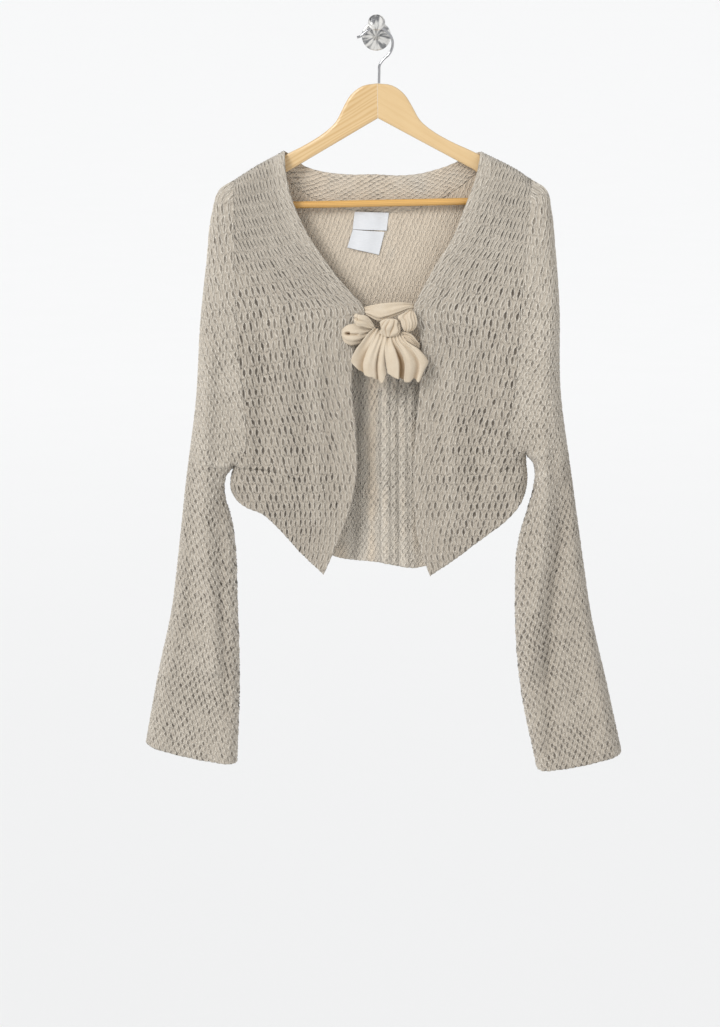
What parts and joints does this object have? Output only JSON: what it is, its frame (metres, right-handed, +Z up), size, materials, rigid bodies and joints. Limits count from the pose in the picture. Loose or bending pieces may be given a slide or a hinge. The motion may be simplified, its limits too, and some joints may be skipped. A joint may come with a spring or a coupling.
{
  "type": "cardigan on a hanger and wall hook",
  "caption": "Cropped openwork chunky-knit cardigan with flared sleeves and a ribbon bow, on a wooden hanger hung from a round metal wall hook.",
  "frame": {"origin": "middle of the wall hook plate's back face, on the wall", "axes": "+Z up, +Y into the wall, +X to the wearer's left, which is the viewer's right"},
  "size_m": [0.627, 0.0649, 0.9839],
  "materials": {
    "knit": "brushed openwork knit, oatmeal",
    "band_knit": "brushed knit, a little paler and denser",
    "ribbon": "matt cream crepe ribbon",
    "label": "white satin label, blank",
    "hanger_wood": "pale lacquered wood",
    "bar_wood": "golden wood",
    "chrome": "polished wire",
    "steel": "satin steel"
  },
  "bodies": {
    "root": {"back": "knit", "front_right": "knit", "front_left": "knit", "sleeve_right": "knit", "sleeve_left": "knit", "neck_band": "band_knit", "front_band_right": "band_knit", "front_band_left": "band_knit", "ribbon_strap": "ribbon", "ribbon_knot": "ribbon", "ribbon_loop_right": "ribbon", "ribbon_loop_left": "ribbon", "ribbon_curl_right": "ribbon", "ribbon_lobe_left": "ribbon", "ribbon_tail_right": "ribbon", "ribbon_tail_left": "ribbon", "neck_label": "label", "care_label": "label", "hanger_arm_right": "hanger_wood", "hanger_arm_left": "hanger_wood", "hanger_bar": "bar_wood", "hanger_hook": "chrome", "wall_hook_plate": "steel", "wall_hook_peg": "steel"}
  },
  "joints": []
}
